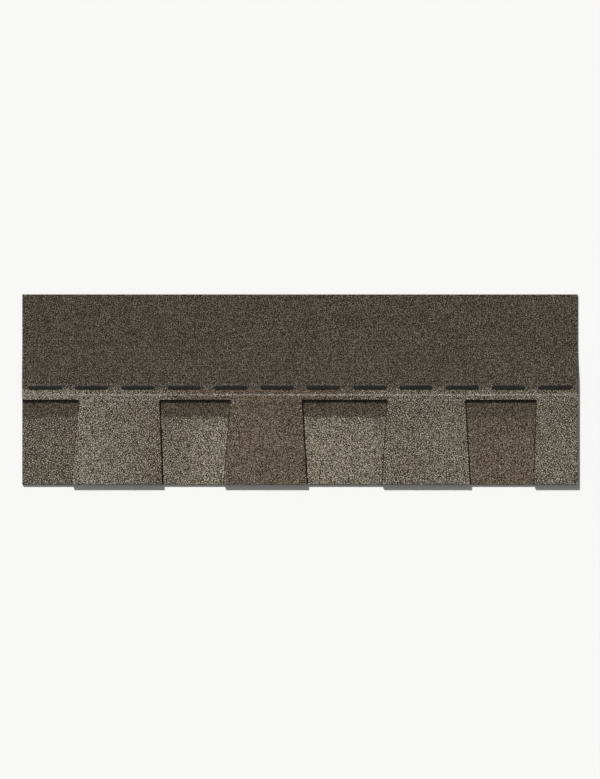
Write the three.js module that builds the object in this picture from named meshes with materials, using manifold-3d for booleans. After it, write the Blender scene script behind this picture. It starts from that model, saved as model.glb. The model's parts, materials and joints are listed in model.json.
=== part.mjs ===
// A laminated asphalt shingle lying face up on a level floor, in millimetres, +Z up.
//
// It is a strip of granule-surfaced sheet whose lower part is cut into wide, uneven, tapered teeth, glued
// on top of a plain backer strip that shows in the slots between the teeth. A row of heat-activated
// sealant dashes lies on its face, and a clear release film on its back keeps bundled shingles apart.
//
// +X runs along the shingle, +Y from the butt edge (the ends of the teeth) to the top edge of the headlap.
// The origin is on the floor under the middle of the shingle. Inside the shingle's group, x is counted
// from the left end and y from the butt edge, because that is how a shingle is measured and cut.
import * as THREE from "three";
import { mergeVertices } from "three/addons/utils/BufferGeometryUtils.js";
import Module from "manifold-3d";

const wasm = await Module();
wasm.setup();

// ---- Driving dimensions ------------------------------------------------------------------------------

const SHINGLE_LENGTH = 984;
const SHEET_HEIGHT = 337; // butt edge to the top edge of the headlap
const SHEET_THICKNESS = 2.8; // mat, asphalt and granules together
const BACKER_THICKNESS = 2.8;

const TOOTH_HEIGHT = 150; // butt edge to the top of a slot, a little more than is left to the weather
const COMMON_BOND = 28; // how far the backer strip reaches past the slots, where nails pass both layers
const SLOT_CORNER_RADIUS = 2; // left by the cutting drum in the inner corners of a slot
const NARROWEST_TOOTH = 30; // a narrower one at the sheet's end would tear off, so it is cut away

// The cutting drum's pattern: a slot and then a tooth, and so on from the sheet's left end. The drum keeps
// turning, so a longer sheet starts the pattern again, and the sheet's end cuts through whatever is there.
const SLOT_WIDTHS = [88, 109, 133, 113]; // at the butt edge, as the teeth's are
const TOOTH_WIDTHS = [160, 147, 156, 151];
const LEFT_LEANS = [13, 12, 10, 5]; // how far a tooth's left side leans in by the top of the slots
const RIGHT_LEANS = [5, 9, 9, 16];

// Above the backer strip the sheet has nothing under it, so it sinks to the floor.
const DRAPE_START = 1.5; // past the edge of the backer strip
const DRAPE_LENGTH = 64;
const DRAPE_STEPS = 16;

// Asphalt adhesive between the two layers: one long bead over the slots, and short ones under each tooth.
const BEAD_THICKNESS = 0.4;
const BEAD_WIDTH = 8;
const BEAD_ROWS = 3; // under each tooth
const BEAD_TO_TOOTH_EDGE = 10; // from a bead's outline to the tooth's butt edge and its two sides
const BEAD_TO_SLOT_TOP = 8; // from the last row's outline to the level of the tops of the slots
const BEAD_TO_SHEET_END = 6;

const SEALANT_LENGTH = 62;
const SEALANT_WIDTH = 10;
const SEALANT_HEIGHT = 0.8;
const SEALANT_GAP = 20; // between one dash and the next
const SEALANT_TO_BACKER_EDGE = 1;

const FILM_WIDTH = 22;
const FILM_THICKNESS = 0.1;
const FILM_TO_BACKER_EDGE = 3;

const END_SEGMENTS = 8; // facets in the round end of an adhesive bead
const DASH_END_RINGS = 4; // rings of facets in the round end of a sealant dash
const DASH_SEGMENTS = 20; // facets round a sealant dash, half of them above the sheet
const CORNER_SEGMENTS = 4;
const PAST = 5; // how far a cutting tool runs past what it cuts

// ---- Heights that follow from them -------------------------------------------------------------------

const backerHeight = TOOTH_HEIGHT + COMMON_BOND;
const backerUnderside = FILM_THICKNESS;
const backerFace = backerUnderside + BACKER_THICKNESS;
const sheetUnderside = backerFace + BEAD_THICKNESS;
const sheetFace = sheetUnderside + SHEET_THICKNESS;

// ---- Materials ---------------------------------------------------------------------------------------

function matte(color, roughness) {
  return new THREE.MeshStandardMaterial({ color, roughness, metalness: 0 });
}

const sheetGranules = matte(0x686256, 0.95);
const backerGranules = matte(0x5f584c, 0.95);
const adhesive = matte(0x14120f, 0.6);
const sealant = matte(0x0f0e0d, 0.35);
const clearFilm = matte(0xb9b7b0, 0.2);

// ---- Small tools -------------------------------------------------------------------------------------

// A closed three.js geometry as a manifold-3d solid.
function solidOf(geometry) {
  const bare = geometry.clone();
  bare.deleteAttribute("normal");
  bare.deleteAttribute("uv");
  const merged = mergeVertices(bare);
  return new wasm.Manifold(
    new wasm.Mesh({
      numProp: 3,
      vertProperties: merged.attributes.position.array,
      triVerts: new Uint32Array(merged.index.array),
    }),
  );
}

// A manifold-3d solid as a three.js geometry with flat-shaded faces.
function geometryOf(solid) {
  const { vertProperties, triVerts } = solid.getMesh();
  const indexed = new THREE.BufferGeometry();
  indexed.setAttribute("position", new THREE.BufferAttribute(vertProperties, 3));
  indexed.setIndex(new THREE.BufferAttribute(triVerts, 1));
  const flat = indexed.toNonIndexed();
  flat.computeVertexNormals();
  return flat;
}

function piece(name, geometry, material) {
  const mesh = new THREE.Mesh(geometry, material);
  mesh.name = name;
  return mesh;
}

// ---- The layout of the teeth -------------------------------------------------------------------------

// Every slot and tooth that the sheet's length takes in. A slot has the lean of the tooth on each side of
// it, and its right side lies past the sheet's end where it takes away the last of the sheet's edge.
function layOutTeeth() {
  const slots = [];
  const teeth = [];
  let left = 0;
  let leanBefore = 0;
  for (let i = 0; left < SHINGLE_LENGTH; i++) {
    const place = i % TOOTH_WIDTHS.length;
    const leanLeft = LEFT_LEANS[place];
    const leanRight = RIGHT_LEANS[place];
    const toothLeft = left + SLOT_WIDTHS[place];
    const toothRight = toothLeft + TOOTH_WIDTHS[place];
    const runsOut = SHINGLE_LENGTH - toothLeft < NARROWEST_TOOTH + leanLeft;
    const right = runsOut ? SHINGLE_LENGTH + PAST : toothLeft;
    slots.push({ left, right, leanBefore, leanAfter: runsOut ? 0 : leanLeft });
    if (runsOut) break;
    const whole = toothRight < SHINGLE_LENGTH;
    teeth.push({
      left: toothLeft,
      right: whole ? toothRight : SHINGLE_LENGTH,
      leanLeft,
      leanRight: whole ? leanRight : 0,
    });
    left = toothRight;
    leanBefore = leanRight;
  }
  return { slots, teeth };
}

// Where a side that stands at x on the butt edge is at height y, if it leans by this much over a tooth.
function leaning(x, lean, y) {
  return x + (lean * y) / TOOTH_HEIGHT;
}

// ---- The tooth sheet ---------------------------------------------------------------------------------

// The outline of a slot: its sides follow the teeth beside it and run out past the butt edge, and its two
// inner corners are rounded. The first slot starts at the sheet's end, and so runs out past that too.
function slotOutline({ left, right, leanBefore, leanAfter }) {
  const leftSide = (y) => (left > 0 ? leaning(left, -leanBefore, y) : -PAST);
  const rightSide = (y) => leaning(right, leanAfter, y);
  const top = TOOTH_HEIGHT;
  const belowCorner = top - SLOT_CORNER_RADIUS;
  const outline = new THREE.Shape();
  outline.moveTo(leftSide(-PAST), -PAST);
  outline.lineTo(rightSide(-PAST), -PAST);
  outline.lineTo(rightSide(belowCorner), belowCorner);
  outline.quadraticCurveTo(rightSide(top), top, rightSide(top) - SLOT_CORNER_RADIUS, top);
  outline.lineTo(leftSide(top) + SLOT_CORNER_RADIUS, top);
  outline.quadraticCurveTo(leftSide(top), top, leftSide(belowCorner), belowCorner);
  outline.closePath();
  return outline;
}

function slotCutter(slot) {
  const cutter = new THREE.ExtrudeGeometry(slotOutline(slot), {
    depth: sheetFace + 2 * PAST,
    bevelEnabled: false,
    curveSegments: CORNER_SEGMENTS,
  });
  cutter.translate(0, 0, -PAST);
  return solidOf(cutter);
}

// The sheet's section from the butt edge to the top edge. It lies flat over the backer strip, sinks in a
// soft double bend, and lies on the floor.
function sheetSection() {
  const drapeFrom = backerHeight + DRAPE_START;
  const stations = [0];
  for (let i = 0; i <= DRAPE_STEPS; i++) stations.push(drapeFrom + (DRAPE_LENGTH * i) / DRAPE_STEPS);
  stations.push(SHEET_HEIGHT);
  const sunk = (y) => THREE.MathUtils.smoothstep(y, drapeFrom, drapeFrom + DRAPE_LENGTH);
  const underside = stations.map((y) => new THREE.Vector2(y, sheetUnderside * (1 - sunk(y))));
  const face = underside.map((p) => new THREE.Vector2(p.x, p.y + SHEET_THICKNESS));
  return new THREE.Shape([...underside, ...face.reverse()]);
}

function toothSheet(slots) {
  const blank = new THREE.ExtrudeGeometry(sheetSection(), {
    depth: SHINGLE_LENGTH,
    bevelEnabled: false,
  });
  // The section was drawn across the shingle and upwards, and its depth runs along the shingle.
  const across = new THREE.Vector3(0, 1, 0);
  const upwards = new THREE.Vector3(0, 0, 1);
  const along = new THREE.Vector3(1, 0, 0);
  blank.applyMatrix4(new THREE.Matrix4().makeBasis(across, upwards, along));
  const cut = slots.reduce((sheet, slot) => sheet.subtract(slotCutter(slot)), solidOf(blank));
  return piece("tooth_sheet", geometryOf(cut), sheetGranules);
}

// ---- Strips that run the shingle's whole length ------------------------------------------------------

// A flat strip that reaches from y to y + height and stands on z.
function strip(name, y, z, height, thickness, material) {
  const box = new THREE.BoxGeometry(SHINGLE_LENGTH, height, thickness);
  const mesh = piece(name, box, material);
  mesh.position.set(SHINGLE_LENGTH / 2, y + height / 2, z + thickness / 2);
  return mesh;
}

function backerStrip() {
  return strip("backer_strip", 0, backerUnderside, backerHeight, BACKER_THICKNESS, backerGranules);
}

function releaseFilm() {
  const y = backerHeight - FILM_TO_BACKER_EDGE - FILM_WIDTH;
  return strip("release_film", y, 0, FILM_WIDTH, FILM_THICKNESS, clearFilm);
}

// ---- Adhesive between the layers ---------------------------------------------------------------------

// A bead with round ends, from one x to the other, with its middle line at y.
function adhesiveBead(name, fromX, toX, y) {
  const r = BEAD_WIDTH / 2;
  const reach = (toX - fromX) / 2 - r;
  const outline = new THREE.Shape();
  outline.absarc(reach, 0, r, -Math.PI / 2, Math.PI / 2, false);
  outline.absarc(-reach, 0, r, Math.PI / 2, (3 * Math.PI) / 2, false);
  const flat = new THREE.ExtrudeGeometry(outline, {
    depth: BEAD_THICKNESS,
    bevelEnabled: false,
    curveSegments: END_SEGMENTS,
  });
  const mesh = piece(name, flat, adhesive);
  mesh.position.set((fromX + toX) / 2, y, backerFace);
  return mesh;
}

// The beads under one tooth, in even rows, each as long as the tooth lets it be.
function toothBeads(tooth, number) {
  const firstY = BEAD_TO_TOOTH_EDGE + BEAD_WIDTH / 2;
  const lastY = TOOTH_HEIGHT - BEAD_TO_SLOT_TOP - BEAD_WIDTH / 2;
  return Array.from({ length: BEAD_ROWS }, (_, row) => {
    const y = firstY + ((lastY - firstY) * row) / (BEAD_ROWS - 1);
    const fromX = leaning(tooth.left, tooth.leanLeft, y) + BEAD_TO_TOOTH_EDGE;
    const toX = leaning(tooth.right, -tooth.leanRight, y) - BEAD_TO_TOOTH_EDGE;
    return adhesiveBead(`tooth_${number}_bead_${row + 1}`, fromX, toX, y);
  });
}

function commonBondBead() {
  const toX = SHINGLE_LENGTH - BEAD_TO_SHEET_END;
  return adhesiveBead("common_bond_bead", BEAD_TO_SHEET_END, toX, TOOTH_HEIGHT + COMMON_BOND / 2);
}

// ---- Sealant on the face -----------------------------------------------------------------------------

// One dash: the upper half of a capsule, pressed down until it is a low dome.
function sealantDome() {
  const r = SEALANT_WIDTH / 2;
  const capsule = new THREE.CapsuleGeometry(
    r,
    SEALANT_LENGTH - SEALANT_WIDTH,
    DASH_END_RINGS,
    DASH_SEGMENTS,
  );
  capsule.rotateZ(Math.PI / 2);
  capsule.scale(1, 1, SEALANT_HEIGHT / r);
  const lowerHalf = new THREE.BoxGeometry(
    SEALANT_LENGTH + 2 * PAST,
    SEALANT_WIDTH + 2 * PAST,
    SEALANT_HEIGHT + PAST,
  );
  lowerHalf.translate(0, 0, -(SEALANT_HEIGHT + PAST) / 2);
  return geometryOf(solidOf(capsule).subtract(solidOf(lowerHalf)));
}

function sealantRow() {
  const dome = sealantDome();
  const pitch = SEALANT_LENGTH + SEALANT_GAP;
  const count = Math.floor((SHINGLE_LENGTH + SEALANT_GAP) / pitch);
  const firstX = (SHINGLE_LENGTH - (count - 1) * pitch) / 2;
  const y = backerHeight - SEALANT_TO_BACKER_EDGE - SEALANT_WIDTH / 2;
  return Array.from({ length: count }, (_, i) => {
    const number = String(i + 1).padStart(2, "0");
    const dash = piece(`sealant_dash_${number}`, dome, sealant);
    dash.position.set(firstX + i * pitch, y, sheetFace);
    return dash;
  });
}

// ---- The shingle -------------------------------------------------------------------------------------

const { slots, teeth } = layOutTeeth();
const shingle = new THREE.Group();
shingle.position.set(-SHINGLE_LENGTH / 2, -SHEET_HEIGHT / 2, 0);
shingle.add(toothSheet(slots), backerStrip(), commonBondBead());
teeth.forEach((tooth, i) => shingle.add(...toothBeads(tooth, i + 1)));
shingle.add(...sealantRow(), releaseFilm());

const part = new THREE.Group();
part.add(shingle);
export default part;
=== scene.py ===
"""The looks of a laminated asphalt shingle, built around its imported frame.

Everything is in metres with +Z up. The shingle lies face up on the floor at z = 0. +X runs along it, and
+Y from the butt edge, where the teeth end, to the top edge of the headlap. The two sheets are rebuilt as
asphalt-coated cores with cut edges, and real granules are pressed into their faces.
"""

from __future__ import annotations

import json
import logging
import math
from abc import ABC, abstractmethod
from collections.abc import Callable, Iterator, Sequence
from contextlib import contextmanager
from dataclasses import dataclass, field, replace
from enum import Enum
from functools import partial
from typing import ClassVar

import bmesh
import bpy
from bmesh.types import BMFace
from bpy.types import Collection, Material, Mesh, Node, NodeSocket, NodeTree, Object
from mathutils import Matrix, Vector

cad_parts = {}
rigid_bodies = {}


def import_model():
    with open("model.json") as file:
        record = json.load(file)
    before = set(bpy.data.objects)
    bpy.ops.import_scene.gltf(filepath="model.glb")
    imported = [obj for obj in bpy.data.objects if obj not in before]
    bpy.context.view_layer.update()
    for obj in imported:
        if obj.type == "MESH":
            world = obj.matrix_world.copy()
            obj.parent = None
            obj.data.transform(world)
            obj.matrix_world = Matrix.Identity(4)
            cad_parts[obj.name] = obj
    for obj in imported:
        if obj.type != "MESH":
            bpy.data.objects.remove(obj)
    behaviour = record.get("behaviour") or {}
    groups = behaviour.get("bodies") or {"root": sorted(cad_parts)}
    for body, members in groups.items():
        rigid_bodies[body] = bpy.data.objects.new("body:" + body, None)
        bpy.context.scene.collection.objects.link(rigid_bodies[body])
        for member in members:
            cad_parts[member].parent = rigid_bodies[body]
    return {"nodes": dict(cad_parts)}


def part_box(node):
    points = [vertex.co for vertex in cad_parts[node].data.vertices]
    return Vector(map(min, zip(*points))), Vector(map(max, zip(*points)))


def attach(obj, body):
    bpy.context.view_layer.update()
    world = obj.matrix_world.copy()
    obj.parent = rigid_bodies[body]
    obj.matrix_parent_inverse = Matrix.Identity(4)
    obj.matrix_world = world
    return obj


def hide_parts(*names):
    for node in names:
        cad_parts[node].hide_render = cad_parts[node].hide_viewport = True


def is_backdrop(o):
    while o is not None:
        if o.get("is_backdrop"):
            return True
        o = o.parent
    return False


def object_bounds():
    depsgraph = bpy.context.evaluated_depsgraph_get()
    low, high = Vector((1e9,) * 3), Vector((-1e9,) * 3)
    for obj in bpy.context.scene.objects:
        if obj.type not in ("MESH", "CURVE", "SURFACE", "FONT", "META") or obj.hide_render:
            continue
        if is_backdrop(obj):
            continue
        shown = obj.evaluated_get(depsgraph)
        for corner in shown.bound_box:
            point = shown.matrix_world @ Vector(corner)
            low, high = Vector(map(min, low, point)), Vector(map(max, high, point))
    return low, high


LOG = logging.getLogger("shingle")
MM = 0.001
BODY = "root"
ONE_PLACE = 0.001 * MM  # corners nearer than this are one
LEVEL = 0.5  # a face whose normal's z is over this looks up, and under minus this, down
SORT_FROM = (0.31, 0.17, 0.07)  # a place from which no two corners of a dash are equally far
ALONG, ACROSS, UP = Vector((1, 0, 0)), Vector((0, 1, 0)), Vector((0, 0, 1))
SEAT, PICK, NUMBER = "granule_seat", "granule_pick", "granule_number"  # attributes on granules
PLY = "ply"  # attribute on a core: 0 on its back and 1 on its face

Colour = tuple[float, float, float, float]
Source = Node | NodeSocket
Inputs = dict[str | int, object]
AddNode = Callable[..., Node]  # add_node with its tree already given
Span = tuple[float, float]  # a pattern's values where something starts to show, and where it shows most
FaceTest = Callable[[BMFace], bool]


class Slot(Enum):
    """The names of the record's material slots for the rebuilt pieces."""

    SHEET = "granule_sheet"
    BACKER = "granule_backer"
    SEALANT = "sealant_asphalt"


# ---- Colours and nodes ----


def linear(hex_colour: str) -> Colour:
    """Turns an sRGB colour to linear light.

    Args:
        hex_colour: Six hex digits, such as "6b6459".

    Returns:
        Red, green, blue and an alpha of 1.
    """
    parts = [int(hex_colour[i : i + 2], 16) / 255 for i in (0, 2, 4)]
    r, g, b = (c / 12.92 if c <= 0.04045 else ((c + 0.055) / 1.055) ** 2.4 for c in parts)
    return (r, g, b, 1.0)


def add_node(tree: NodeTree, kind: str, inputs: Inputs | None = None, **settings: object) -> Node:
    """Adds a node with its settings, and sets or links its inputs.

    Args:
        tree: The node tree that it goes into.
        kind: The node's type, such as "ShaderNodeMath".
        inputs: By a live socket's name, or by number, a value, or the socket or node to link there. A
            node gives its first live output.
        **settings: The node's own properties.

    Returns:
        The new node.
    """
    node = tree.nodes.new(kind)
    for name, value in settings.items():
        setattr(node, name, value)
    for name, value in (inputs or {}).items():
        if isinstance(name, int):
            socket = node.inputs[name]
        else:
            socket = next(s for s in node.inputs if s.enabled and s.name == name)
        if isinstance(value, Node):
            value = next(s for s in value.outputs if s.enabled)
        if isinstance(value, NodeSocket):
            tree.links.new(value, socket)
        else:
            socket.default_value = value
    return node


def set_stops(node: Node, stops: Sequence[tuple[float, Colour]], ease: str = "LINEAR") -> None:
    """Gives a colour ramp its stops.

    Args:
        node: The ramp's node.
        stops: Each stop's place from 0 to 1, in order, and its linear colour.
        ease: How the colours run from one stop to the next.
    """
    ramp = node.color_ramp
    ramp.interpolation = ease
    while len(ramp.elements) < len(stops):
        ramp.elements.new(1.0)
    for element, (place, colour) in zip(ramp.elements, stops):
        element.position = place
        element.color = colour


def swayed(add: AddNode, at: Source, size: float, reach: float, value: Source | float) -> Node:
    """Makes a value sway softly from place to place.

    Args:
        add: Adds a node to the material's tree.
        at: The place.
        size: How long the sways are.
        reach: The most that they add to the value. On average they add half of it.
        value: The value.

    Returns:
        The value that sways.
    """
    sways = add("ShaderNodeTexNoise", {"Vector": at, "Scale": 1 / size})
    return add("ShaderNodeMath", {0: sways, 1: reach, 2: value}, operation="MULTIPLY_ADD")


def broken_grains(add: AddNode, at: Source, size: float, crook: float) -> tuple[Node, Node]:
    """Adds a pattern of broken grains that lie side by side.

    Args:
        add: Adds a node to the material's tree.
        at: The place.
        size: A grain's width.
        crook: How far the grains' sides wander, and over what length.

    Returns:
        The distance from each grain's middle, and the grain's own random number.
    """
    swirl = add("ShaderNodeTexNoise", {"Vector": at, "Scale": 1 / crook}).outputs["Color"]
    reach = (crook, crook, crook)
    crooked = add("ShaderNodeVectorMath", {0: swirl, 1: reach, 2: at}, operation="MULTIPLY_ADD")
    grains = add("ShaderNodeTexVoronoi", {"Vector": crooked, "Scale": 1 / size})
    return grains, add("ShaderNodeSeparateXYZ", {0: grains.outputs["Color"]})


def tinted(
    add: AddNode,
    colours: tuple[Source | Colour, Source | Colour],
    pattern: Source,
    span: Span,
    shares: tuple[float, float | Source] = (0.0, 1.0),
    ease: str = "LINEAR",
) -> tuple[Node, Node]:
    """Turns one colour to another where a pattern says.

    Args:
        add: Adds a node to the material's tree.
        colours: The colour, and the tint that it turns to.
        pattern: The pattern.
        span: Its values where the tint starts to show and where it shows most.
        shares: How much of the tint there is at each.
        ease: How the share runs from one to the other.

    Returns:
        The colour, and the share of the tint in it.
    """
    limits = {"From Min": span[0], "From Max": span[1], "To Min": shares[0], "To Max": shares[1]}
    share = add("ShaderNodeMapRange", {"Value": pattern, **limits}, interpolation_type=ease)
    inputs = {"Factor": share, "A": colours[0], "B": colours[1]}
    return add("ShaderNodeMix", inputs, data_type="RGBA"), share


class Finish(ABC):
    """What a surface is made of, and the material that shows it."""

    name: str

    def material(self) -> Material:
        """Makes the material.

        Returns:
            The material.
        """
        made = bpy.data.materials.new(self.name)
        made.use_nodes = True
        made.node_tree.nodes.clear()
        add = partial(add_node, made.node_tree)
        shader = add("ShaderNodeBsdfPrincipled", self.surface(add))
        add("ShaderNodeOutputMaterial", {"Surface": shader})
        return made

    @abstractmethod
    def surface(self, add: AddNode) -> Inputs:
        """Adds the nodes that lead to the shader.

        Args:
            add: Adds a node to the material's tree.

        Returns:
            The shader's inputs by name.
        """


# ---- Granules' colours ----


@dataclass(frozen=True)
class Drop:
    """One blend of granules, as it falls on the moving sheet."""

    place: float  # where along the sheet it falls, from 0 at the sheet's left end to 1
    stone: str  # the colour of its lightest common stones
    pale: float  # the share of its light stones that are pale ones


@dataclass(frozen=True)
class GranuleBlend:
    """Ceramic-coated crushed rock, pressed into hot asphalt in blends dropped along the moving sheet.

    It gives the eye a dry matte sparkle of light and dark grains, whose average changes softly from one
    drop to the next. Grains are 1 to 1.7 mm across in the real thing, and are drawn as coarse as the
    coarsest of them, because finer ones don't show.
    """

    drops: tuple[Drop, ...]  # the blends along the sheet, from its left end
    length: float  # the sheet's
    plain_from: float  # the y where the coloured blends end and plain headlap granules begin
    slot_top: float  # the y of the slots' tops
    top_shade: float  # how bright the blends are there and above, against their full colours: partly painted shade, where a course above would shade them, and partly granules dropped darker
    fade: float  # how far below it they have their full colours
    band_depth: float | None = None  # how far below it the band of shade granules ends, if there is one
    nail_line: float | None = None  # the y of the painted nail line's middle, if there is one
    band: str = "968d7f"  # the lightest of the shade granules, the same all along
    headlap: tuple[str, str] = ("8c857a", "9e968a")  # the lightest of the plain ones, from patch to patch
    rust: str = "a37d62"
    moss: str = "969786"
    pale: str = "d4d0c4"
    paint: str = "c4c1b7"
    wander: float = 60 * MM  # the size of the swings in where one drop turns into the next
    drift: float = 0.02  # how far those swings reach, as a share of the length
    patch: float = 34 * MM  # the size of the patches that lean to rust or to moss
    rust_at: Span = (0.52, 0.72)  # the patches' noise, whose mean is 0.5, where they lean to rust
    moss_at: Span = (0.48, 0.3)  # the same for moss
    tinge: float = 0.16  # the most that they lean
    sway: float = 12.0 * MM  # how far the band's lower edge swings up and down
    ragged: float = 4.5 * MM  # how far granules of one kind stray among those of the next
    stray: float = 8.036 * MM  # over what length that changes
    soft: float = 2.0 * MM  # half the width in which one kind gives way to the next
    line_width: float = 2.4 * MM
    flake: float = 5 * MM  # the size of the gaps in the nail line's paint
    paint_at: Span = (1.7, 1.3)  # in line widths from its middle, where flaking adds 0 to 2

    # A stone's brightness against the lightest, by its random pick. Darker stones are browner, because
    # their red falls off with a lower power and their blue with a higher one.
    TONES: ClassVar = ((0.0, 0.05), (0.3, 0.28), (0.6, 0.68), (1.0, 1.0))
    WARMTH: ClassVar = (0.9, 1.0, 1.28)

    def colour(self, add: AddNode, at: Source, pick: Source) -> Source:
        """Works out the colour of one grain.

        Args:
            add: Adds a node to the material's tree.
            at: The grain's own place, in metres.
            pick: The grain's own random number, from 0 to 1, or from 1 to 2 for a light grain.

        Returns:
            The colour.
        """
        x, y, _ = add("ShaderNodeSeparateXYZ", {0: at}).outputs
        patches = add("ShaderNodeTexNoise", {"Vector": at, "Scale": 1 / self.patch})
        blend, pale_share = self._dropped(add, at, x, patches)
        strayed = swayed(add, at, self.stray, 2 * self.ragged, y)
        if self.band_depth is not None:
            swung = add("ShaderNodeMath", {0: patches, 1: self.sway, 2: strayed}, operation="MULTIPLY_ADD")
            low = self.slot_top - self.band_depth + self.sway / 2
            blend, below = tinted(add, (linear(self.band), blend), swung, self._under(low))
            pale_share = add("ShaderNodeMath", {0: pale_share, 1: below}, operation="MULTIPLY")
        dark, light = (linear(hex_colour) for hex_colour in self.headlap)
        plain = add("ShaderNodeMix", {"Factor": patches, "A": dark, "B": light}, data_type="RGBA")
        main, coloured = tinted(add, (plain, blend), strayed, self._under(self.plain_from))
        grain = self._toned(add, main, y, pick)
        pale_from = add("ShaderNodeMath", {0: 2.0, 1: pale_share}, operation="SUBTRACT")
        is_pale = add("ShaderNodeMath", {0: pick, 1: pale_from}, operation="GREATER_THAN")
        pales = add("ShaderNodeMath", {0: is_pale, 1: coloured}, operation="MULTIPLY")
        inputs = {"Factor": pales, "A": grain, "B": linear(self.pale)}
        grain = add("ShaderNodeMix", inputs, data_type="RGBA")
        return grain if self.nail_line is None else self._lined(add, at, y, grain)

    def _under(self, edge: float) -> Span:
        """The strayed y where granules begin to fall below an edge, and where they all do."""
        middle = edge + self.ragged
        return middle + self.soft, middle - self.soft

    def _dropped(self, add: AddNode, at: Source, x: Source, patches: Source) -> tuple[Source, Source]:
        """Works out the blend that fell on a place.

        Args:
            add: Adds a node to the material's tree.
            at: The place.
            x: The place's x.
            patches: Soft noise from 0, which leans to moss, to 1, which leans to rust.

        Returns:
            The colour of the blend's lightest common stones, and its share of pale ones.
        """
        swing = swayed(add, at, self.wander, self.drift, 0.5 - self.drift / 2)
        along = add("ShaderNodeMath", {0: x, 1: 1 / self.length, 2: swing}, operation="MULTIPLY_ADD")
        ramp = add("ShaderNodeValToRGB", {"Fac": along})
        set_stops(ramp, [(d.place, (*linear(d.stone)[:3], d.pale)) for d in self.drops], "EASE")
        colour = ramp.outputs["Color"]
        for tint, span in ((self.rust, self.rust_at), (self.moss, self.moss_at)):
            colours = (colour, linear(tint))
            colour, _ = tinted(add, colours, patches, span, (0.0, self.tinge), "SMOOTHSTEP")
        return colour, ramp.outputs["Alpha"]

    def _toned(self, add: AddNode, main: Source, y: Source, pick: Source) -> Source:
        """Gives one grain its own brightness, and darkens it towards the slots' tops, partly as painted
        shade of a course above.

        Args:
            add: Adds a node to the material's tree.
            main: The lightest common stones' colour there.
            y: The place's y.
            pick: The grain's random number.

        Returns:
            The colour.
        """
        ramp = add("ShaderNodeValToRGB", {"Fac": pick})
        set_stops(ramp, [(at, (*(level**power for power in self.WARMTH), 1.0)) for at, level in self.TONES])
        grain = add("ShaderNodeVectorMath", {0: main, 1: ramp}, operation="MULTIPLY")
        # Painted shade: grains darken towards the slots' tops, partly where a course above would shade them
        # and partly as darker granules.
        ends = {"From Min": self.slot_top, "From Max": self.slot_top - self.fade, "To Min": self.top_shade}
        shade = add("ShaderNodeMapRange", {"Value": y, **ends}, interpolation_type="SMOOTHSTEP")
        return add("ShaderNodeVectorMath", {0: grain, "Scale": shade}, operation="SCALE")

    def _lined(self, add: AddNode, at: Source, y: Source, grain: Source) -> Source:
        """Paints the nail line over the grains.

        Args:
            add: Adds a node to the material's tree.
            at: The place.
            y: The place's y.
            grain: The bare grain's colour.

        Returns:
            The colour.
        """
        off = add("ShaderNodeMath", {0: y, 1: self.nail_line}, operation="SUBTRACT")
        off = add("ShaderNodeMath", {0: off}, operation="ABSOLUTE")
        worn = swayed(add, at, self.flake, 2 * self.line_width, off)
        span = tuple(widths * self.line_width for widths in self.paint_at)
        return tinted(add, (grain, linear(self.paint)), worn, span)[0]


@dataclass(frozen=True)
class PressedGranules(Finish):
    """Whole granules on a sheet's face, each of one colour.

    Matte fired glaze on stone hardly shines, so they have little gloss.
    """

    name: str
    blend: GranuleBlend

    def surface(self, add: AddNode) -> Inputs:
        """Adds the nodes that lead to the shader.

        Args:
            add: Adds a node to the material's tree.

        Returns:
            The shader's inputs by name.
        """
        at = add("ShaderNodeAttribute", attribute_name=SEAT).outputs["Vector"]
        pick = add("ShaderNodeAttribute", attribute_name=PICK).outputs["Fac"]
        colour = self.blend.colour(add, at, pick)
        return {"Base Color": colour, "Roughness": 0.85, "IOR": 1.5, "Specular IOR Level": 0.2}


@dataclass(frozen=True)
class GranuleFines(Finish):
    """The bed between whole granules: broken grains of the same blend, half sunk in black asphalt.

    It gives the eye the dark, finely speckled ground that granules stand out from.
    """

    name: str
    blend: GranuleBlend
    asphalt: str = "1a130c"
    grain: float = 1.1 * MM  # a grain's width
    crook: float = 1.0 * MM  # how far its sides wander, and over what length
    sunk_at: Span = (0.2, 0.45)  # in widths from its middle, where asphalt covers it
    film: float = 0.35  # the share of asphalt's colour on its middle

    def surface(self, add: AddNode) -> Inputs:
        """Adds the nodes that lead to the shader.

        Args:
            add: Adds a node to the material's tree.

        Returns:
            The shader's inputs by name.
        """
        at = add("ShaderNodeTexCoord").outputs["Object"]
        grains, pick = broken_grains(add, at, self.grain, self.crook)
        colours = (self.blend.colour(add, at, pick), linear(self.asphalt))
        colour, _ = tinted(add, colours, grains, self.sunk_at, (self.film, 1.0))
        relief = {"Strength": 0.4, "Distance": 0.3 * MM, "Height": grains}
        bump = add("ShaderNodeBump", relief, invert=True)
        return {"Base Color": colour, "Normal": bump, "Roughness": 0.8, "Specular IOR Level": 0.2}


# ---- Other finishes ----


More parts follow.
